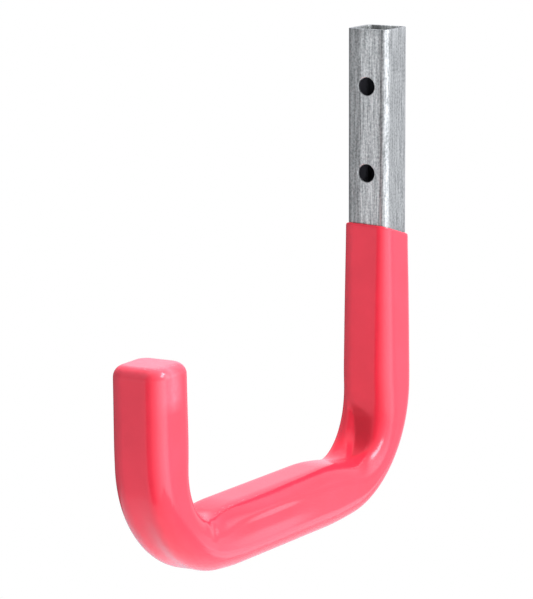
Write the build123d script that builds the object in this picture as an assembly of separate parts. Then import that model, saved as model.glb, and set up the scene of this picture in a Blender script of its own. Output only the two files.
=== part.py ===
from build123d import *
import os
from dataclasses import dataclass
from math import degrees, pi, radians, sin, tan

from build123d.topology import SkipClean
from numpy import interp

# Wall hook bent from one length of galvanised square tube and dipped in soft vinyl from the nose up.
# X is the hook's width, +Y points into the wall and Z is up. The back of the shank lies on y = 0.
# The origin is on that face, midway between the two screw holes.

# Square tube
tube_side = 20.0
tube_wall = 1.5
tube_corner = 3.4

# Runs of the hook, between the corners where the centrelines of its straight lengths cross
shank_height = 197.0
reach = 184.5
nose_height = 74.0

# Screw holes, drilled through the front and the back of the shank
hole_diameter = 8.0
hole_pitch = 38.0
first_hole_from_top = 25.0

# Bends, pressed cold round a former. The front one springs open a little.
back_bend_radius = 40.0
front_bend_radius = 38.0
back_bend_angle = 90.0
front_bend_angle = 88.7

# What the press does in each bend: how far the inner wall sinks towards the centreline, how far the outer
# wall flattens, the valley left along the inner wall, the shallow dish left along the outer wall, and the
# swelling of each side. Sinks and swelling run out a little way past the bend. In the back bend the inner
# wall sinks late, and its valley wanders from the left to the right as it goes round.
back_inner_sink = 4.6
back_inner_sink_delay = 8.0
back_outer_sink = 2.7
back_valley = 3.0
back_valley_wander = 3.0
back_dish = 0.5
back_swell = 0.5
front_inner_sink = 3.6
front_outer_sink = 2.9
front_valley = 2.2
front_dish = 0.5
front_swell = 0.4
press_mark_run = 15.0
bend_steps = 8

# Moulded plug that closes the nose end of the tube, so that the coating can bridge it
plug_head = 3.0
plug_edge_round = 2.6
plug_stem_length = 16.0
plug_stem_side = 13.0
plug_stem_corner = 1.5
plug_stem_wall = 1.8
plug_rib_count = 3
plug_rib_thickness = 1.2
plug_rib_pitch = 4.5
plug_rib_clearance = 0.1

# Dipped coating: it is thin at the dip line and thick on the arm, because it drains as it sets. It draws back
# from the tube's corners, so its own corners are rounder than an even skin's by a share of its thickness.
coat_at_dip_line = 1.45
coat_at_mid_shank = 2.3
coat_at_back_bend = 3.3
coat_on_arm = 3.5
coat_at_front_bend = 3.75
coat_after_front_bend = 3.1
coat_at_tip = 2.75
coat_softens_corner = 0.55
coat_pooled_in_valley = 0.4
tip_round = 5.0
tip_straight = 7.0

# Dip line: the hook hangs from its top hole and leans as it is dipped, so the line lies at a slant
dip_line_from_top = 88.5
dip_line_slant_front = 15.5
dip_line_slant_side = 2.1
dip_collar = 8.0
lip_round = 0.6


def rise_and_fall(s, first, last):
    """None at s outside first and last, and one half way between them."""
    if s <= first or s >= last:
        return 0.0
    return sin(pi * (s - first) / (last - first)) ** 2


@dataclass
class Bend:
    """A bend of the tube, from its start along the centreline, and what the press leaves in it."""

    start: float
    radius: float
    angle: float
    inner_sink: float
    outer_sink: float
    valley: float
    dish: float
    swell: float
    inner_sink_delay: float = 0.0
    valley_wander: float = 0.0

    def end(self):
        return self.start + self.radius * radians(self.angle)

    def middle(self):
        return (self.start + self.end()) / 2

    def mark_first(self):
        return self.start - press_mark_run

    def mark_last(self):
        return self.end() + press_mark_run

    def mark(self, s, delay=0.0):
        """Share of the full press mark at s."""
        return rise_and_fall(s, self.mark_first() + delay, self.mark_last())

    def hollow(self, s):
        """Share of the full depth of the valley and the dish at s."""
        return rise_and_fall(s, self.start, self.end())

    def wander(self, s):
        """How far the valley lies from the middle of the inner wall at s."""
        return self.valley_wander * (s - self.middle()) / (self.end() - self.middle())


# Distances along the centreline, from the open top end to the nose end of the tube
back_corner = back_bend_radius * tan(radians(back_bend_angle) / 2)
front_corner = front_bend_radius * tan(radians(front_bend_angle) / 2)
back_bend = Bend(
    shank_height - back_corner,
    back_bend_radius,
    back_bend_angle,
    back_inner_sink,
    back_outer_sink,
    back_valley,
    back_dish,
    back_swell,
    back_inner_sink_delay,
    back_valley_wander,
)
front_bend = Bend(
    back_bend.end() + reach - back_corner - front_corner,
    front_bend_radius,
    front_bend_angle,
    front_inner_sink,
    front_outer_sink,
    front_valley,
    front_dish,
    front_swell,
)
nose_end = front_bend.end() + nose_height - front_corner
mid_shank = (dip_line_from_top + back_bend.start) / 2

top_place = Location((0, -tube_side / 2, hole_pitch / 2 + first_hole_from_top))


def forward(place, distance):
    """A place further along a straight length. Local Z points back up it, local Y out of the bends."""
    return place * Pos(0, 0, -distance)


def round_bend(place, bend, s):
    """A place in a bend, or at its end, turned about the centre that lies on the inner side."""
    angle = degrees((min(s, bend.end()) - bend.start) / bend.radius)
    return place * Pos(0, -bend.radius, 0) * Rot(-angle, 0, 0) * Pos(0, bend.radius, 0)


def place_at(s):
    """The place on the centreline at distance s from the open top end."""
    place = forward(top_place, min(s, back_bend.start))
    if s > back_bend.start:
        place = round_bend(place, back_bend, s)
    if s > back_bend.end():
        place = forward(place, min(s, front_bend.start) - back_bend.end())
    if s > front_bend.start:
        place = round_bend(place, front_bend, s)
    if s > front_bend.end():
        place = forward(place, s - front_bend.end())
    return place


def coat_thickness(s):
    """Thickness of the coating at s, straight between the places where it is given."""
    given = {
        dip_line_from_top: coat_at_dip_line,
        mid_shank: coat_at_mid_shank,
        back_bend.middle(): coat_at_back_bend,
        back_bend.end(): coat_on_arm,
        front_bend.start: coat_on_arm,
        front_bend.middle(): coat_at_front_bend,
        front_bend.end(): coat_after_front_bend,
        nose_end: coat_at_tip,
    }
    return float(interp(s, list(given), list(given.values())))


def wall_line(left, right, offset, hollow, aside=0.0):
    """One wall of a section, from left to right: flat, or hollowed with soft shoulders, deepest about half
    of aside to the right of its middle."""
    if hollow == 0:
        return Line((left, offset), (right, offset))
    quarter = (right - left) / 4
    return Bezier(
        (left, offset),
        (left + quarter, offset),
        (left + 2 * quarter + aside, offset + hollow * 8 / 3),
        (right - quarter, offset),
        (right, offset),
    )


def section(s, grow, pooled=0.0):
    """The tube's rounded square at s, offset outwards by grow, as a face across the centreline."""
    inner = outer = half = tube_side / 2 + grow
    valley = dish = aside = 0.0
    for bend in (back_bend, front_bend):
        inner -= bend.inner_sink * bend.mark(s, bend.inner_sink_delay)
        outer -= bend.outer_sink * bend.mark(s)
        half += bend.swell * bend.mark(s)
        valley += max(0.0, bend.valley - pooled) * bend.hollow(s)
        dish += bend.dish * bend.hollow(s)
        aside += bend.wander(s) if bend.hollow(s) else 0.0
    corner = tube_corner + grow + coat_softens_corner * max(0.0, grow)
    flat = half - corner
    edges = [
        wall_line(-flat, flat, -inner, valley, aside),
        CenterArc((flat, corner - inner), corner, -90, 90),
        Line((half, corner - inner), (half, outer - corner)),
        CenterArc((flat, outer - corner), corner, 0, 90),
        wall_line(flat, -flat, outer, -dish),
        CenterArc((-flat, outer - corner), corner, 90, 90),
        Line((-half, outer - corner), (-half, corner - inner)),
        CenterArc((-flat, corner - inner), corner, 180, 90),
    ]
    return place_at(s) * make_face(edges)


def straight_run(first, last, grow):
    """A run of constant section between two distances along the centreline."""
    return extrude(section(first, grow), amount=first - last)


def tapered_run(first, last):
    """A run of the coating's outside whose thickness changes evenly from end to end."""
    return loft([section(first, coat_thickness(first)), section(last, coat_thickness(last))])


def bend_run(bend, grow_at, pooled=0.0):
    """A bend with its run-outs, lofted through sections whose offset is given by grow_at."""
    step = (bend.mark_last() - bend.mark_first()) / bend_steps
    places = [bend.mark_first() + step * k for k in range(bend_steps + 1)]
    return loft([section(s, grow_at(s), pooled) for s in places])


def bent_bar(grow, past_top=0.0, past_end=0.0):
    """The whole bent bar, offset by grow from the outside of the tube. Its bare end is a run of its own."""
    return straight_run(-past_top, dip_line_from_top, grow) + [
        straight_run(dip_line_from_top, back_bend.mark_first(), grow),
        bend_run(back_bend, lambda s: grow),
        straight_run(back_bend.mark_last(), front_bend.mark_first(), grow),
        bend_run(front_bend, lambda s: grow),
        straight_run(front_bend.mark_last(), nose_end + past_end, grow),
    ]


def steel_tube(outside):
    """The bent tube, open at its top end, with both screw holes through the shank."""
    bore = bent_bar(-tube_wall, past_top=tube_wall, past_end=tube_wall)
    drill = Cylinder(hole_diameter / 2, 2 * tube_side, rotation=(90, 0, 0))
    drills = [Pos(0, -tube_side / 2, z) * drill for z in (hole_pitch / 2, -hole_pitch / 2)]
    with SkipClean():
        return outside - bore - drills


def square_bar(first, last, side, corner):
    """A plain rounded square bar on the centreline of the nose, between two distances."""
    return extrude(place_at(first) * RectangleRounded(side, side, corner), amount=first - last)


def end_plug():
    """The plug: a head that covers the tube's end, and a hollow ribbed stem that grips the bore."""
    head = straight_run(nose_end, nose_end + plug_head, 0.0)
    head = fillet(head.faces().sort_by(Axis.Z)[-1].edges(), plug_edge_round)
    stem_start = nose_end - plug_stem_length
    stem = square_bar(stem_start, nose_end, plug_stem_side, plug_stem_corner)
    rib_side = tube_side - 2 * tube_wall - 2 * plug_rib_clearance
    for k in range(plug_rib_count):
        rib_end = nose_end - plug_rib_pitch * (k + 0.5)
        rib_corner = tube_corner - tube_wall - plug_rib_clearance
        stem += square_bar(rib_end - plug_rib_thickness, rib_end, rib_side, rib_corner)
    core_side = plug_stem_side - 2 * plug_stem_wall
    return head + (stem - square_bar(stem_start, nose_end, core_side, plug_stem_corner / 2))


def dip_collar_form():
    """The top of the coating's outside: cut at the slanted dip line, with a soft lip."""
    slant_rise = (tube_side / 2 + coat_at_dip_line) * tan(radians(dip_line_slant_front + dip_line_slant_side))
    collar = straight_run(
        dip_line_from_top - slant_rise - dip_collar, dip_line_from_top + dip_collar, coat_at_dip_line
    )
    line = place_at(dip_line_from_top) * Rot(-dip_line_slant_front, dip_line_slant_side, 0)
    collar = split(collar, bisect_by=Plane(line), keep=Keep.BOTTOM)
    return fillet(collar.faces().sort_by(Axis.Z)[-1].edges(), lip_round)


def red_coating(covered):
    """The dipped skin, from its lip on the shank to the closed end of the nose."""
    tip_end = nose_end + plug_head + coat_at_tip
    tip = straight_run(tip_end - tip_straight, tip_end, coat_at_tip)
    tip = fillet(tip.faces().sort_by(Axis.Z)[-1].edges(), tip_round)
    outside = dip_collar_form() + [
        tapered_run(dip_line_from_top + dip_collar, mid_shank),
        tapered_run(mid_shank, back_bend.mark_first()),
        bend_run(back_bend, coat_thickness, coat_pooled_in_valley),
        straight_run(back_bend.mark_last(), front_bend.mark_first(), coat_on_arm),
        bend_run(front_bend, coat_thickness, coat_pooled_in_valley),
        tapered_run(front_bend.mark_last(), tip_end - tip_straight),
        tip,
    ]
    return outside - covered


# The bare end's flats stay faces of their own, clear of the coating, because the wall bears on one of them
with SkipClean():
    bar = bent_bar(0.0)
plug = end_plug()
parts = {
    "steel_tube": steel_tube(bar),
    "end_plug": plug,
    "red_coating": red_coating(bar + plug),
}

os.makedirs("parts", exist_ok=True)
for name, shape in parts.items():
    shape.label = name
    export_step(shape, "parts/" + name + ".step")
    print(name, len(shape.solids()), "solid", round(shape.volume, 1), "mm3", shape.bounding_box())
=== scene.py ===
import math
from dataclasses import dataclass

import bpy
import numpy as np
from mathutils import Matrix, Vector


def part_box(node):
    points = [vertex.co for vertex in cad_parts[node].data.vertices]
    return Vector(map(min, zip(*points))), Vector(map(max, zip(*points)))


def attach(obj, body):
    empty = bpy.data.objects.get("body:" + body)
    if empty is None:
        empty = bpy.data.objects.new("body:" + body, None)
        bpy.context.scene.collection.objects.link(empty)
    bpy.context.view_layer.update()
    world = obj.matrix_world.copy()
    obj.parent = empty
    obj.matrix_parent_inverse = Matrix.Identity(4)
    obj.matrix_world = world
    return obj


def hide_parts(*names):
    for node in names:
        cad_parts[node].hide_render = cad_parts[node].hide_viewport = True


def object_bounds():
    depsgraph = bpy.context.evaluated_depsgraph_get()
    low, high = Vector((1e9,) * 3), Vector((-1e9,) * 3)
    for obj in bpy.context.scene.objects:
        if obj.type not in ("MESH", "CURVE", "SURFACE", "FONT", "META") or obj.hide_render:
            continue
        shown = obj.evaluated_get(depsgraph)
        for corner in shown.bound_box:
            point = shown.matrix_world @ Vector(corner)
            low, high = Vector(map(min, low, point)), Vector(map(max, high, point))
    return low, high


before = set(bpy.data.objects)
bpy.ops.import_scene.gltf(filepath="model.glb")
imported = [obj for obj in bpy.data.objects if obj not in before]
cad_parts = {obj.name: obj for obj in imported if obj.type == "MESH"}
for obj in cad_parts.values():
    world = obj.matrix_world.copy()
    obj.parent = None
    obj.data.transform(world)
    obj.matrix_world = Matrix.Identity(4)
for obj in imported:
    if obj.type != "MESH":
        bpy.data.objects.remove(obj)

cad_box = [list(corner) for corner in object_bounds()]

# Steel tube: one length of galvanised square tube, bent cold round two formers in a press, which sinks and
# hollows its inner walls. The bare upper end is sawn square and drilled through front and back for screws.
tube_side = 0.020
tube_wall = 0.0015
tube_corner = 0.0034
shank_height = 0.197
reach = 0.1845
nose_height = 0.074
hole_radius = 0.004
hole_chamfer = 0.0003
hole_pitch = 0.038
saw_edge = 0.00025
tube_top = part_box("steel_tube")[1].z


@dataclass
class Bend:
    """A bend of the tube, from its start along the centreline, and what the press leaves in it: the inner and
    the outer wall sink, the inner one gets a valley and the outer one a dish, and the sides swell. The mark
    runs out some way before the bend and after it."""

    start: float
    radius: float
    angle: float
    mark_before: float
    mark_after: float
    inner_sink: float
    outer_sink: float
    valley: float
    dish: float
    swell: float

    def end(self):
        return self.start + self.radius * self.angle

    def middle(self):
        return (self.start + self.end()) / 2

    def turn(self, s):
        """How far the tube has turned at s: (s - start) / radius, from 0 to the whole angle."""
        return np.clip((s - self.start) / self.radius, 0, self.angle)

    def share(self, s, before, after):
        """Sine squared from before the bend's start to after its end, so it rises and falls once, and 0
        elsewhere."""
        first = self.start - before
        last = self.end() + after
        return np.sin(np.pi * np.clip((s - first) / (last - first), 0, 1)) ** 2

    def mark(self, s):
        """Share of the full press mark at s."""
        return self.share(s, self.mark_before, self.mark_after)


back_radius = 0.040
back_bend = Bend(
    start=shank_height - back_radius,
    radius=back_radius,
    angle=math.radians(90),
    mark_before=0.009,
    mark_after=0.022,
    inner_sink=0.0046,
    outer_sink=0.0027,
    valley=0.0,
    dish=0.0005,
    swell=0.0005,
)
front_radius = 0.038
front_angle = math.radians(88.7)
front_corner = front_radius * math.tan(front_angle / 2)
front_bend = Bend(
    start=back_bend.end() + reach - back_radius - front_corner,
    radius=front_radius,
    angle=front_angle,
    mark_before=0.017,
    mark_after=0.013,
    inner_sink=0.0036,
    outer_sink=0.0029,
    valley=0.0022,
    dish=0.0005,
    swell=0.0004,
)
tube_end = front_bend.end() + nose_height - front_corner
dent_start = 0.1630
dent_rise = 0.014
dent_end = 0.213
dent_fall = 0.026
dent_depth = 0.0015
dent_slope_left = 0.42
dent_slope_right = 0.17
dent_bottom_left = -0.0082
dent_drift = 0.26
dent_soft_bottom = 0.0007
dent_soft_rim = 0.0006
side_marks = [
    (0.292, 0.045, -0.0090, 0.0045, 0.0012),
    (0.292, 0.045, -0.0005, 0.0055, 0.00025),
    (0.341, 0.004, -0.0060, 0.0060, -0.0006),
    (0.347, 0.004, -0.0065, 0.0050, 0.0004),
]


def ease(t):
    """Smooth step from 0 to 1: t^2 * (3 - 2 t), with t held between 0 and 1."""
    t = np.clip(t, 0, 1)
    return t * t * (3 - 2 * t)


def outward(turn):
    """Direction (y, z) out of the hook's throat where the tube has turned by an angle: (cos, -sin)."""
    return np.stack([np.cos(turn), -np.sin(turn)], axis=-1)


def heading(turn):
    """Direction (y, z) along the tube where it has turned by an angle: (-sin, -cos)."""
    return np.stack([-np.sin(turn), -np.cos(turn)], axis=-1)


def centreline(s):
    """Points (y, z) of the centreline at distances s from the top: each straight adds its length along the
    heading, and each bend adds its radius times the change of the outward direction."""
    back, front = back_bend.turn(s), front_bend.turn(s)
    down = np.minimum(s, back_bend.start)[..., None]
    arm = np.clip(s - back_bend.end(), 0, front_bend.start - back_bend.end())[..., None]
    nose = np.maximum(s - front_bend.end(), 0)[..., None]
    return (
        np.array([-tube_side / 2, tube_top])
        + down * heading(0.0)
        + back_bend.radius * (outward(back) - outward(0.0))
        + arm * heading(back_bend.angle)
        + front_bend.radius * (outward(back + front) - outward(back))
        + nose * heading(back_bend.angle + front_bend.angle)
    )


def rounded_square(per_side, per_corner):
    """Goes once round a rounded square. Gives the corner centre's share (-1 to 1) in x and y at each point,
    and the unit direction from that centre: it turns at a corner, and along a side only the share moves."""
    share, angle = [], []
    signs = np.array([[1, 1], [-1, 1], [-1, -1], [1, -1], [1, 1]], float)
    for k in range(4):
        t = np.arange(per_corner) / per_corner
        share.append(np.tile(signs[k], (per_corner, 1)))
        angle.append((k + t) * np.pi / 2)
        t = np.arange(per_side) / per_side
        share.append(signs[k] * (1 - t[:, None]) + signs[k + 1] * t[:, None])
        angle.append(np.full(per_side, (k + 1) * np.pi / 2))
    angle = np.concatenate(angle)
    return np.concatenate(share), np.stack([np.cos(angle), np.sin(angle)], axis=-1)


def dent_bottom(s):
    """Place across the wall of the dent's bottom line: it drifts to the right as it runs down."""
    return dent_bottom_left + (s - dent_start) * dent_drift


def press_dent(s, x):
    """Depth of the dent that the press leaves in the inner wall of the back bend. It is a trough of two even
    slopes, depth - slope * (distance from its bottom line), steeper on the left than on the right, that
    starts at a blunt end, wanders to the right and runs out towards the arm."""
    share = ease((s - dent_start) / dent_rise) * ease((dent_end - s) / dent_fall)
    bottom = dent_bottom(s)
    aside = np.sqrt((x - bottom) ** 2 + dent_soft_bottom ** 2) - dent_soft_bottom
    depth = dent_depth * share - np.where(x < bottom, dent_slope_left, dent_slope_right) * aside
    rim = dent_soft_rim * share
    return (depth + np.sqrt(depth ** 2 + rim ** 2)) / 2


def side_mark(s, y):
    """Height of the humps and creases that the press squeezes into the right side by the front bend. Each is
    height * cos^2 along * cos^2 across, given as the middle and half length along the tube, the middle and
    half width across it, and the height."""
    total = 0.0
    for middle, half_length, level, half_width, height in side_marks:
        along = np.cos(np.pi / 2 * np.clip((s - middle) / half_length, -1, 1)) ** 2
        across = np.cos(np.pi / 2 * np.clip((y - level) / half_width, -1, 1)) ** 2
        total = total + height * along * across
    return total


def bar_surface(s, grow, ring, softer=0.0, pooled=0.0, shrink=1.0):
    """Points of the bent bar's surface, offset by grow from the outside of the tube, at distances s and
    round the ring. A point is share * (half - corner) + direction * corner across the centreline, with the
    corners rounder by softer, the walls moved by the press marks, and the flat walls hollowed by
    depth * (1 - x^2)^2. What has pooled in the valley is taken off its depth, and shrink draws the whole
    section in towards the centreline."""
    share, direction = ring
    half = inner = outer = tube_side / 2 + grow
    valley = dish = 0.0
    for bend in (back_bend, front_bend):
        inner = inner - bend.inner_sink * bend.mark(s)
        outer = outer - bend.outer_sink * bend.mark(s)
        half = half + bend.swell * bend.mark(s)
        valley = valley + max(0.0, bend.valley - pooled) * bend.share(s, 0.0, 0.0)
        dish = dish + bend.dish * bend.share(s, 0.0, 0.0)
    corner = tube_corner + grow + softer
    to_outer = (share[:, 1] + 1) / 2
    hollow = (1 - share[:, 0] ** 2) ** 2
    x = share[:, 0] * (half - corner) + direction[:, 0] * corner
    y = (outer - corner) * to_outer - (inner - corner) * (1 - to_outer) + direction[:, 1] * corner
    y = y + np.where(share[:, 1] < 0, valley, -dish) * hollow
    y = y + press_dent(s, x) * np.clip(-direction[:, 1], 0, 1)
    x = x + side_mark(s, y) * np.clip(direction[:, 0], 0, 1) ** 2
    x, y, s = np.broadcast_arrays(x * shrink, y * shrink, s)
    across = outward(back_bend.turn(s) + front_bend.turn(s))
    place = centreline(s) + across * y[..., None]
    return np.concatenate([x[..., None], place], axis=-1)


def quads(rows, columns, joined):
    """Corner numbers of the faces of a grid that closes on itself round its columns, and also along its rows
    where joined is true. The faces point outwards where the rows run down and the columns go round from +X
    to +Y."""
    row = np.arange(rows if joined else rows - 1)[:, None]
    column = np.arange(columns)[None, :]
    after_row, after_column = (row + 1) % rows, (column + 1) % columns
    corners = [after_row * columns + column, after_row * columns + after_column]
    corners += [row * columns + after_column, row * columns + column]
    return np.stack(np.broadcast_arrays(*corners), axis=-1).reshape(-1, 4)


def new_piece(name, points, faces):
    """A shaded-smooth mesh object at the origin, with its place in its mesh."""
    mesh = bpy.data.meshes.new(name)
    mesh.from_pydata(points.tolist(), [], faces)
    mesh.update()
    mesh.shade_smooth()
    piece = bpy.data.objects.new(name, mesh)
    bpy.context.scene.collection.objects.link(piece)
    return piece


def paint(mesh, name, values):
    """Stores one number for each point of the mesh, for its material to read."""
    mesh.attributes.new(name, "FLOAT", "POINT").data.foreach_set("value", values)


def quarter(radius, steps):
    """How far a rounded edge lies below its end and inside its side, for angles from 0 to 90 degrees:
    radius * (1 - sin) and radius * (1 - cos)."""
    angle = np.linspace(0, np.pi / 2, steps + 1)
    return radius * (1 - np.sin(angle)), radius * (1 - np.cos(angle))


def tube_skin():
    """The tube's closed skin as one grid: along the outside, over the sawn end, back along the bore and over
    the other end, each row being (distance along the centreline, offset from the outside)."""
    below, inside = quarter(saw_edge, 3)
    straights = np.array([0.004, 0.012, 0.030, 0.050, 0.070, 0.086, 0.100, 0.120, 0.140])
    bends = np.arange(back_bend.start - back_bend.mark_before, tube_end - 0.004, 0.003)
    along = np.concatenate([straights, bends])
    sides = [
        (below[::-1], -inside[::-1]),
        (along, np.zeros(len(along))),
        (tube_end - below, -inside),
        (tube_end - below[::-1], inside[::-1] - tube_wall),
        (along[::-1], np.full(len(along), -tube_wall)),
        (below, inside - tube_wall),
    ]
    s, grow = (np.concatenate([side[k] for side in sides])[:, None] for k in range(2))
    ring = rounded_square(per_side=10, per_corner=8)
    points = bar_surface(s, grow, ring)
    return points.reshape(-1, 3), quads(len(s), len(ring[0]), joined=True).tolist()


def drill(height):
    """A drill of the hole's radius that runs along Y through both walls, wider by the chamfer where it meets
    each outer face: a profile of (y, radius) turned about its axis."""
    past = 0.002
    y = np.array([
        -tube_side - past, -tube_side, hole_chamfer - tube_side, -hole_chamfer, 0.0, past,
    ])
    radius = hole_radius + np.array([past, hole_chamfer, 0, 0, hole_chamfer, past])
    angle = np.linspace(0, 2 * np.pi, 64, endpoint=False)
    x = radius[:, None] * np.cos(angle)
    z = radius[:, None] * np.sin(angle) + height
    points = np.stack([x, np.broadcast_to(y[:, None], x.shape), z], axis=-1).reshape(-1, 3)
    faces = quads(len(y), len(angle), joined=False).tolist()
    first = list(range(len(angle)))
    last = [len(points) - len(angle) + k for k in reversed(first)]
    return new_piece("drill", points, faces + [first[::-1], last[::-1]])


steel_tube = new_piece("bent_tube", *tube_skin())
for height in (hole_pitch / 2, -hole_pitch / 2):
    cutter = drill(height)
    cut = steel_tube.modifiers.new("drilled hole", "BOOLEAN")
    cut.operation = "DIFFERENCE"
    cut.solver = "EXACT"
    cut.object = cutter
    drilled = bpy.data.meshes.new_from_object(steel_tube.evaluated_get(bpy.context.evaluated_depsgraph_get()))
    steel_tube.modifiers.clear()
    steel_tube.data = drilled
    bpy.data.objects.remove(cutter)
steel_tube.data.shade_smooth()
steel_tube.data.set_sharp_from_angle(angle=math.radians(32))
bore_lit_depth = 0.004


def inside_of_shank(mesh):
    """How deep each point of the mesh lies in the straight shank's wall, from 0 on the outside to 1 in the
    bore: the distance inside a rounded square over the wall's thickness. Light falls in at the sawn end, so
    it rises from 0 there over the first few millimetres down."""
    place = np.empty(len(mesh.vertices) * 3)
    mesh.vertices.foreach_get("co", place)
    x, y, z = place.reshape(-1, 3).T
    flat = tube_side / 2 - tube_corner
    across = np.stack([np.abs(x), np.abs(y + tube_side / 2)]) - flat
    depth = tube_corner - np.hypot(*np.maximum(across, 0)) - np.minimum(across.max(axis=0), 0)
    return np.clip(depth / tube_wall, 0, 1) * np.clip((tube_top - z) / bore_lit_depth, 0, 1)


paint(steel_tube.data, "inside", inside_of_shank(steel_tube.data))
zinc_dark = (0.30, 0.32, 0.288)
zinc_pale = (0.80, 0.83, 0.745)
# Painted shade: the dark colour given to the bore deeper than a few millimetres below the sawn end.
bore_shade_colour = (0.10, 0.10, 0.105)
# Painted reflection: a ramp across the tube's width makes the zinc paler down the middle of the front face
# and darker to its left and round the right corner.
painted_reflection_from = -0.0085
painted_reflection_to = 0.0115
painted_reflection_waver = 0.0030
painted_reflection_band = [
    (0.0, 0.56), (0.33, 0.56), (0.40, 0.96), (0.77, 0.96), (0.84, 0.78), (0.91, 0.74), (0.955, 0.66),
    (0.985, 0.54), (1.0, 0.56),
]


def fill(node, values):
    """Gives a node's inputs their values, or links them to other nodes' outputs."""
    for key, value in dict(values).items():
        if isinstance(value, bpy.types.NodeSocket):
            node.id_data.links.new(value, node.inputs[key])
        else:
            node.inputs[key].default_value = value


def node_maker(tree):
    """A function that adds a node of a kind to the tree, with its inputs and its settings."""

    def add(kind, values=(), **settings):
        node = tree.nodes.new(kind)
        for key, value in settings.items():
            setattr(node, key, value)
        fill(node, values)
        return node

    return add


def new_material(name):
    """A material, its shader, and the function that adds a node to it."""
    material = bpy.data.materials.new(name)
    material.use_nodes = True
    shader = next(n for n in material.node_tree.nodes if n.type == "BSDF_PRINCIPLED")
    return material, shader, node_maker(material.node_tree)


def mixed(add, share, first, second, kind="FLOAT", **settings):
    """The output of a Mix node, from its sockets for two numbers or for two colours."""
    first_at, second_at, out_at = {"FLOAT": (2, 3, 0), "RGBA": (6, 7, 2)}[kind]
    node = add("ShaderNodeMix", {0: share, first_at: first, second_at: second}, data_type=kind, **settings)
    return node.outputs[out_at]


def graded(add, share, stops):
    """The colour of a ramp at a share from 0 to 1, given as stops of (position, colour)."""
    ramp = add("ShaderNodeValToRGB", {0: share})
    elements = ramp.color_ramp.elements
    while len(elements) < len(stops):
        elements.new(0.5)
    for element, (position, colour) in zip(elements, stops):
        element.position = position
        element.color = (*colour, 1)
    return ramp.outputs[0]


def galvanised_steel():
    """Zinc on rolled steel: fine draw marks along it, a mottle of small dark pits, paler and darker bands
    across the tube's width that are painted reflection, brightest down the middle of the front face, and a
    duller bore whose dark colour is painted shade, setting in a few millimetres below the sawn end."""
    material, shader, add = new_material("galvanised steel")
    place = add("ShaderNodeTexCoord").outputs["Object"]
    lengthwise = add("ShaderNodeMapping", {"Vector": place, "Scale": (1600, 1600, 60)}).outputs[0]
    streak = add("ShaderNodeTexNoise", {"Vector": lengthwise, "Scale": 1.0, "Detail": 4.0, "Roughness": 0.6})
    small = add("ShaderNodeMapping", {"Vector": place, "Scale": (1100, 1100, 900)}).outputs[0]
    pit = add("ShaderNodeTexNoise", {"Vector": small, "Scale": 1.0, "Detail": 3.0, "Roughness": 0.6})
    grain = mixed(add, 0.42, streak.outputs["Fac"], pit.outputs["Fac"])
    tone = graded(add, grain, [(0.40, zinc_dark), (0.59, zinc_pale)])
    wavy = add("ShaderNodeTexNoise", {"Vector": place, "Scale": 120.0, "Detail": 2.0}).outputs["Fac"]
    x = add("ShaderNodeSeparateXYZ", {"Vector": place}).outputs["X"]
    # Painted reflection: bands across the tube's width multiply the zinc's tone.
    aside = add("ShaderNodeMath", {0: wavy, 1: painted_reflection_waver, 2: x}, operation="MULTIPLY_ADD").outputs[0]
    width = add("ShaderNodeMapRange", {"Value": aside, "From Min": painted_reflection_from, "From Max": painted_reflection_to})
    band = graded(add, width.outputs[0], [(position, (level,) * 3) for position, level in painted_reflection_band])
    zinc = mixed(add, 1.0, tone, band, "RGBA", blend_type="MULTIPLY")
    inside = add("ShaderNodeAttribute", attribute_name="inside").outputs["Fac"]
    # Painted shade: the bore's dark colour, mixed in by depth inside the wall and below the sawn end.
    bore_shade = add("ShaderNodeMapRange", {"Value": inside, "From Min": 0.45, "From Max": 0.9}).outputs[0]
    rough = add("ShaderNodeMapRange", {"Value": inside, "To Min": 0.34, "To Max": 0.8}).outputs[0]
    bump = add("ShaderNodeBump", {"Height": grain, "Strength": 0.1, "Distance": 0.00006}).outputs[0]
    fill(shader, {
        "Base Color": mixed(add, bore_shade, zinc, (*bore_shade_colour, 1), "RGBA"),
        "Metallic": 0.85,
        "Roughness": rough,
        "Normal": bump,
    })
    return material


steel_tube.data.materials.clear()
steel_tube.data.materials.append(galvanised_steel())
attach(steel_tube, "root")
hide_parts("steel_tube")

# End plug: a moulded polyethylene cap with a hollow ribbed stem, pushed into the nose end of the tube before
# dipping so that the vinyl can bridge it. It is black and sealed under the coating.
plug_dark = (0.012, 0.012, 0.013)
plug_pale = (0.030, 0.030, 0.032)


def moulded_polyethylene():
    """Black polyethylene with the fine sparked grain of its mould."""
    material, shader, add = new_material("moulded polyethylene")
    place = add("ShaderNodeTexCoord").outputs["Object"]
    grain = add("ShaderNodeTexNoise", {"Vector": place, "Scale": 1600.0, "Detail": 4.0}).outputs["Fac"]
    fill(shader, {
        "Base Color": graded(add, grain, [(0.0, plug_dark), (1.0, plug_pale)]),
        "Roughness": 0.5,
        "Normal": add("ShaderNodeBump", {"Height": grain, "Strength": 0.3, "Distance": 0.0001}).outputs[0],
    })
    return material


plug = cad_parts["end_plug"]
plug.data.materials.clear()
plug.data.materials.append(moulded_polyethylene())

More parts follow.
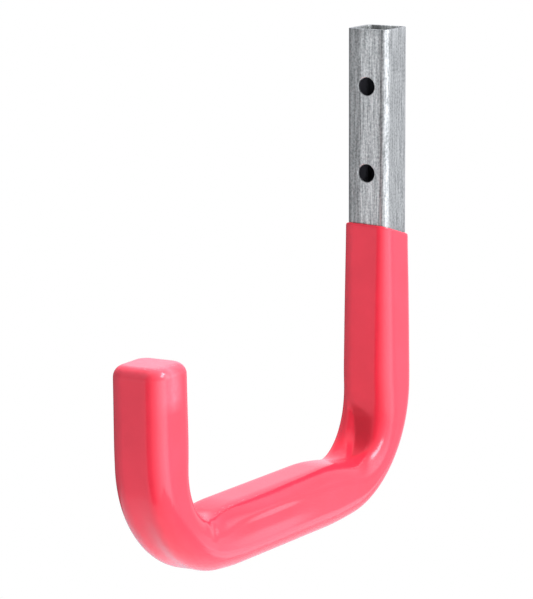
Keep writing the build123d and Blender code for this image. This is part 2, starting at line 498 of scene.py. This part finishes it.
# Red coating: soft vinyl, grown on the hot hook in one dip from the nose up and drained with the nose down.
# It is thin at the slanted dip line and thick on the arm, and it pools in the valleys of the bends. The top
# and the right side of the tip are painted paler as a painted highlight, and the dent of the back bend is
# painted a deeper red as a painted shade.
dip_line_from_top = 0.0885
dip_line_slant_front = math.radians(15.5)
dip_line_slant_side = math.radians(2.1)
dip_line_run = 0.030
lip_round = 0.0007
coat_at_dip_line = 0.00145
coat_at_mid_shank = 0.0023
coat_at_back_bend = 0.0033
coat_on_arm = 0.0035
coat_at_front_bend = 0.00375
coat_after_front_bend = 0.0031
coat_at_tip = 0.00275
coat_pooled_in_valley = 0.0004
coat_smoothing = 0.010
coat_softens_corner = 0.55
film_gap = 0.00002
plug_head = 0.003
plug_edge_round = 0.0026
tip_round = 0.0050
plug_top = tube_end + plug_head
tip_top = plug_top + coat_at_tip
# Painted shade: where the dent of the back bend is painted a deeper red.
dent_shade_start = 0.1665
dent_shade_run = 0.006
dent_shade_edge = 0.35
dent_shade_line = 0.0007
# Painted highlight: the top and the right side of the tip painted paler.
tip_highlight_over_top = 0.0063
tip_highlight_down_side = 0.019
tip_highlight_side_fade = 0.006
tip_highlight_side_middle = 0.0030
tip_highlight_side_half_width = 0.008
tip_highlight_share_on_top = 0.55
tip_highlight_share_on_side = 0.7


def coat_thickness(s):
    """Thickness of the coating at s: straight between the places where it is given, and then averaged over a
    centimetre either way, so that the surface has no kink."""
    mid_shank = (dip_line_from_top + back_bend.start) / 2
    given = {
        dip_line_from_top: coat_at_dip_line,
        mid_shank: coat_at_mid_shank,
        back_bend.middle(): coat_at_back_bend,
        back_bend.end(): coat_on_arm,
        front_bend.start: coat_on_arm,
        front_bend.middle(): coat_at_front_bend,
        front_bend.end(): coat_after_front_bend,
        tube_end: coat_at_tip,
    }
    nearby = np.linspace(-coat_smoothing, coat_smoothing, 9)
    return np.interp(s[..., None] + nearby, list(given), list(given.values())).mean(axis=-1)


def coat_rows():
    """The rows of the film's skin, each as bar_surface takes it: distance along the centreline, offset from
    the tube's outside, softer and shrink. They go back along the inner side, over the lip, and along the
    outer side to the tip. The last value says which rows are on the outer side."""
    lip_below, lip_inside = quarter(lip_round, 5)
    plug_below, plug_inside = quarter(plug_edge_round, 5)
    tip_below, tip_inside = quarter(tip_round, 12)
    inner_cap = np.array([0.25, 0.5, 0.75])
    outer_cap = np.array([0.92, 0.84, 0.7, 0.5, 0.3, 0.12])
    inner = np.arange(plug_top - plug_edge_round - 0.001, dip_line_from_top + 0.001, -0.004)
    outer = np.arange(dip_line_from_top + lip_round + 0.0004, tip_top - tip_round - 0.0003, 0.0007)
    lip = dip_line_from_top + lip_below
    outer_grow = coat_thickness(outer)
    at_line = coat_softens_corner * coat_at_dip_line
    at_tip = coat_softens_corner * coat_at_tip
    inner_side = [
        (np.full(len(inner_cap), plug_top), film_gap - plug_edge_round, 0.0, inner_cap),
        (plug_top - plug_below[::-1], film_gap - plug_inside[::-1], 0.0, 1.0),
        (inner, film_gap, 0.0, 1.0),
        (np.array([dip_line_from_top]), film_gap, 0.0, 1.0),
    ]
    outer_side = [
        (lip[::-1], coat_at_dip_line - lip_inside[::-1], at_line, 1.0),
        (outer, outer_grow, coat_softens_corner * outer_grow, 1.0),
        (tip_top - tip_below, coat_at_tip - tip_inside, at_tip, 1.0),
        (np.full(len(outer_cap), tip_top), coat_at_tip - tip_round, at_tip, outer_cap),
    ]
    rows = [
        np.concatenate([np.broadcast_to(run[k], run[0].shape) for run in inner_side + outer_side])[:, None]
        for k in range(4)
    ]
    on_outer_side = np.arange(len(rows[0]))[:, None] >= sum(len(run[0]) for run in inner_side)
    return *rows, on_outer_side


def painted_dent_shade(s, x):
    """Share of the painted shade, a deeper red, in the dent of the back bend: it follows the dent's depth,
    and begins at once right of its bottom line and at its blunt upper end."""
    depth = ease(press_dent(s, x) / (dent_shade_edge * dent_depth))
    right_of_bottom = np.clip((x - dent_bottom(s)) / dent_shade_line + 0.5, 0, 1)
    return depth * right_of_bottom * ease((s - dent_shade_start) / dent_shade_run)


def painted_tip_highlight(s, y, facing_right):
    """Share of the painted highlight on the tip, a paler colour: it grows with the square over the rounding
    of the top, and a patch of it reaches down the right side, where the light falls, and fades towards its
    edges."""
    on_top = np.clip((s - tip_top + tip_highlight_over_top) / tip_highlight_over_top, 0, 1) ** 2
    along = np.clip((s - tip_top + tip_highlight_down_side) / tip_highlight_side_fade, 0, 1)
    across = np.clip(1 - np.abs(y - tip_highlight_side_middle) / tip_highlight_side_half_width, 0, 1)
    on_side = along * across * np.clip(facing_right, 0, 1) ** 2
    return np.maximum(tip_highlight_share_on_top * on_top, tip_highlight_share_on_side * on_side)


def coat_skin():
    """The coating's closed skin as one grid between two poles, one inside the tip and one on it. Near the dip
    line the rows shift along the tube by y * tan(slant of the front) + x * tan(slant of the side)."""
    share, direction = rounded_square(per_side=22, per_corner=16)
    s, grow, softer, shrink, on_outer_side = coat_rows()
    half = tube_side / 2 + coat_at_dip_line
    corner = tube_corner + coat_at_dip_line * (1 + coat_softens_corner)
    x, y = (share * (half - corner) + direction * corner).T
    slant = y * math.tan(dip_line_slant_front) + x * math.tan(dip_line_slant_side)
    s = s + slant * (1 - ease((s - dip_line_from_top) / dip_line_run))
    points = bar_surface(s, grow, (share, direction), softer, coat_pooled_in_valley, shrink)
    poles = points[[0, -1]].mean(axis=1)
    on_inner_wall = direction[:, 1] < 0
    # Painted shade: the deeper red of the dent, kept on the points for the material.
    dent_shade = painted_dent_shade(s, points[..., 0]) * on_inner_wall * on_outer_side
    # Painted highlight: the paler top and right side of the tip, kept on the points for the material.
    tip_highlight = painted_tip_highlight(s, y, direction[:, 0]) * on_outer_side
    columns = len(share)
    inner_pole = len(s) * columns
    outer_pole = inner_pole + 1
    outer_row = inner_pole - columns
    faces = quads(len(s), columns, joined=False).tolist()
    around = [(k, (k + 1) % columns) for k in range(columns)]
    faces += [(inner_pole, a, b) for a, b in around]
    faces += [(outer_pole, outer_row + b, outer_row + a) for a, b in around]
    painted = {
        "dent_shade": np.append(dent_shade.ravel(), [0, 0]),
        "tip_highlight": np.append(tip_highlight.ravel(), [0, tip_highlight_share_on_top]),
    }
    return np.concatenate([points.reshape(-1, 3), poles]), faces, painted


points, faces, painted = coat_skin()
coating = new_piece("dipped_coating", points, faces)
for name, values in painted.items():
    paint(coating.data, name, values)
vinyl_dark = (0.60, 0.022, 0.038)
vinyl_pale = (0.65, 0.025, 0.043)
# Painted shade: the deeper red of the dent.
vinyl_dent_shade = (0.50, 0.018, 0.030)
# Painted highlight: the paler colour of the tip.
vinyl_highlight = (0.66, 0.13, 0.155)


def red_vinyl():
    """Glossy soft vinyl, coral red, with a faint cloudiness and a skin that is not quite level. Painted shade
    makes it deeper and less glossy in the dent of the back bend, and painted highlight makes it paler in
    patches on the tip."""
    material, shader, add = new_material("red vinyl")
    place = add("ShaderNodeTexCoord").outputs["Object"]
    cloud = add("ShaderNodeTexNoise", {"Vector": place, "Scale": 60.0, "Detail": 3.0}).outputs["Fac"]
    tone = graded(add, cloud, [(0.35, vinyl_dark), (0.65, vinyl_pale)])
    # Painted shade: the dent's deeper red and weaker gloss.
    dent_shade = add("ShaderNodeAttribute", attribute_name="dent_shade").outputs["Fac"]
    clear = mixed(add, dent_shade, tone, (*vinyl_dent_shade, 1), "RGBA")
    patch = add("ShaderNodeTexNoise", {"Vector": place, "Scale": 400.0, "Detail": 3.0}).outputs["Fac"]
    spread = {"Value": patch, "From Min": 0.3, "From Max": 0.7, "To Min": 0.7}
    patchy = add("ShaderNodeMapRange", spread).outputs[0]
    # Painted highlight: the tip's paler colour, broken into patches.
    tip_highlight = add("ShaderNodeAttribute", attribute_name="tip_highlight").outputs["Fac"]
    veil = add("ShaderNodeMath", {0: tip_highlight, 1: patchy}, operation="MULTIPLY").outputs[0]
    level = add("ShaderNodeTexNoise", {"Vector": place, "Scale": 90.0, "Detail": 1.0}).outputs["Fac"]
    gloss = add("ShaderNodeMapRange", {"Value": dent_shade, "To Min": 0.5, "To Max": 0.2}).outputs[0]
    fill(shader, {
        "Base Color": mixed(add, veil, clear, (*vinyl_highlight, 1), "RGBA"),
        "Roughness": 0.16,
        "IOR": 1.5,
        "Specular IOR Level": gloss,
        "Normal": add("ShaderNodeBump", {"Height": level, "Strength": 0.2, "Distance": 0.0002}).outputs[0],
    })
    return material


coating.data.materials.append(red_vinyl())
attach(coating, "root")
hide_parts("red_coating")

# Floor: a wide sheet of pale matt paint well below the hook, so far down that it throws back an even light
# and no shadow of the hook shows on it.
floor_drop = 1.2
floor_back = 3.0
floor_front = -1.3
floor_wide = 2.5
paint_dark = (0.70, 0.70, 0.70)
paint_pale = (0.75, 0.75, 0.75)
floor_z = cad_box[0][2] - floor_drop
floor_corners = np.array([
    [-floor_wide, floor_front, floor_z],
    [floor_wide, floor_front, floor_z],
    [floor_wide, floor_back, floor_z],
    [-floor_wide, floor_back, floor_z],
])


def floor_paint():
    """Matt white paint with a faint mottle."""
    material, shader, add = new_material("floor paint")
    place = add("ShaderNodeTexCoord").outputs["Object"]
    mottle = add("ShaderNodeTexNoise", {"Vector": place, "Scale": 3.0}).outputs["Fac"]
    fill(shader, {
        "Base Color": graded(add, mottle, [(0.0, paint_dark), (1.0, paint_pale)]),
        "Roughness": 0.9,
    })
    return material


floor = new_piece("floor", floor_corners, [[0, 1, 2, 3]])
floor.data.materials.append(floor_paint())

# Camera: a long lens a metre and a half from the hook, to the right of its front and a little above it. Its
# angles and distance were fitted to the hook's outline.
camera_azimuth = math.radians(30.696)
camera_elevation = math.radians(10.058)
camera_roll = math.radians(-0.192)
camera_distance = 1.4777
camera_aim = Vector((0.0, -0.10231, -0.06217))
camera_aim_right = -0.00155
focal_pixels = 3530.8
photo_long_side = 599

back = Vector((
    math.sin(camera_azimuth) * math.cos(camera_elevation),
    -math.cos(camera_azimuth) * math.cos(camera_elevation),
    math.sin(camera_elevation),
))
right = Vector((math.cos(camera_azimuth), math.sin(camera_azimuth), 0))
up = back.cross(right)
image_right = right * math.cos(camera_roll) + up * math.sin(camera_roll)
image_up = up * math.cos(camera_roll) - right * math.sin(camera_roll)
stand = camera_aim + right * camera_aim_right + back * camera_distance
camera = bpy.data.objects.new("camera", bpy.data.cameras.new("camera"))
camera.data.sensor_width = 36.0
camera.data.lens = focal_pixels * camera.data.sensor_width / photo_long_side
turned = Matrix((image_right, image_up, back)).transposed()
camera.matrix_world = Matrix.Translation(stand) @ turned.to_4x4()
bpy.context.scene.collection.objects.link(camera)
bpy.context.scene.camera = camera

# Studio light: pale walls all round, dim where the photographer stands and brightest on the right, a strip
# lamp high on the right, a small low one for the glow under the front bend, and five soft fills that light
# the faces without being seen in them.
daylight = (0.985, 0.985, 1.14)
overhead_level = 0.9
low_walls = [
    (-180, 0.9), (-150, 0.9), (-138, 0.12), (-121, 0.15), (-91, 0.42), (-61, 0.75), (-40, 0.9), (-22, 0.9),
    (-14, 0.15), (4, 0.15), (17, 0.6), (32, 1.2), (47, 1.75), (62, 2.3), (78, 2.9), (94, 3.6), (106, 3.0),
    (118, 1.7), (150, 0.95),
]
high_walls = [
    (-180, 0.9), (-150, 0.9), (-125, 0.3), (-100, 0.3), (-65, 0.45), (-48, 0.55), (-30, 0.65), (-14, 0.15),
    (4, 0.15), (17, 0.4), (32, 0.6), (62, 1.2), (78, 1.9), (94, 2.4), (122, 3.3), (136, 3.0), (150, 1.0),
]


def studio_walls():
    """The walls as they stand round the hook: (degrees from the front towards the right, level), one ring at
    the hook's height and one above it. Overhead and near the floor they give way to even white, and the
    backdrop is white to the lens."""
    brightest = max(level for _, level in low_walls)
    world = bpy.data.worlds.new("studio")
    world.use_nodes = True
    bpy.context.scene.world = world
    add = node_maker(world.node_tree)
    shader = next(n for n in world.node_tree.nodes if n.type == "BACKGROUND")
    way = add("ShaderNodeTexCoord").outputs["Generated"]
    x, y, z = add("ShaderNodeSeparateXYZ", {0: way}).outputs
    front = add("ShaderNodeMath", {0: y, 1: -1.0}, operation="MULTIPLY").outputs[0]
    turn = add("ShaderNodeMath", {0: x, 1: front}, operation="ARCTAN2").outputs[0]
    turns = {0: turn, 1: 0.5 / math.pi, 2: 0.5}
    round_share = add("ShaderNodeMath", turns, operation="MULTIPLY_ADD").outputs[0]

    def ring_of_walls(walls):
        stops = [(degrees / 360 + 0.5, (level / brightest,) * 3) for degrees, level in walls]
        tone = graded(add, round_share, stops)
        return add("ShaderNodeMath", {0: tone, 1: brightest}, operation="MULTIPLY").outputs[0]

    def above(rise, first, last):
        edges = {"From Min": math.sin(math.radians(first)), "From Max": math.sin(math.radians(last))}
        return add("ShaderNodeMapRange", {"Value": rise, **edges}, interpolation_type="SMOOTHSTEP").outputs[0]

    side = mixed(add, above(z, -2, 10), ring_of_walls(low_walls), ring_of_walls(high_walls))
    steep = add("ShaderNodeMath", {0: z}, operation="ABSOLUTE").outputs[0]
    even = mixed(add, above(steep, 56, 80), side, overhead_level)
    to_lens = add("ShaderNodeLightPath").outputs["Is Camera Ray"]
    fill(shader, {
        "Strength": mixed(add, to_lens, even, 1.0),
        "Color": mixed(add, to_lens, (*daylight, 1), (1, 1, 1, 1), "RGBA"),
    })


def softbox(name, direction, distance, size, energy, in_reflections=True, along=(0, 0, 1)):
    """A rectangular lamp that faces the hook from a direction, with its second side along another."""
    away = Vector(direction).normalized()
    across = Vector(along).cross(away).normalized()
    turned = Matrix((across, away.cross(across), away)).transposed()
    lamp = bpy.data.objects.new(name, bpy.data.lights.new(name, "AREA"))
    lamp.data.shape = "RECTANGLE"
    lamp.data.size, lamp.data.size_y = size
    lamp.data.energy = energy
    lamp.data.color = daylight
    lamp.matrix_world = Matrix.Translation(camera_aim + away * distance) @ turned.to_4x4()
    lamp.visible_glossy = in_reflections
    bpy.context.scene.collection.objects.link(lamp)


studio_walls()
softbox("key strip", (1.0, 0.24, 1.0), distance=1.4, size=(0.38, 1.0), energy=10.5, along=(-0.89, 0.62, 0))
softbox("low glow", (0.42, 0.80, -0.445), distance=1.6, size=(0.46, 0.46), energy=0.7)
softbox("front fill", (0.1, -1.0, -0.1), distance=1.0, size=(0.5, 0.5), energy=1.0, in_reflections=False)
for name, direction, energy in (
    ("back fill", (-0.35, 0.55, 0.75), 55.0),
    ("left fill", (-1.0, -0.15, 0.0), 3.0),
    ("right fill", (1.0, -0.5, 0.0), 8.0),
    ("low fill", (0.8, -0.3, -0.6), 5.0),
):
    softbox(name, direction, distance=1.4, size=(0.9, 0.9), energy=energy, in_reflections=False)
bpy.context.scene.view_settings.view_transform = "Standard"
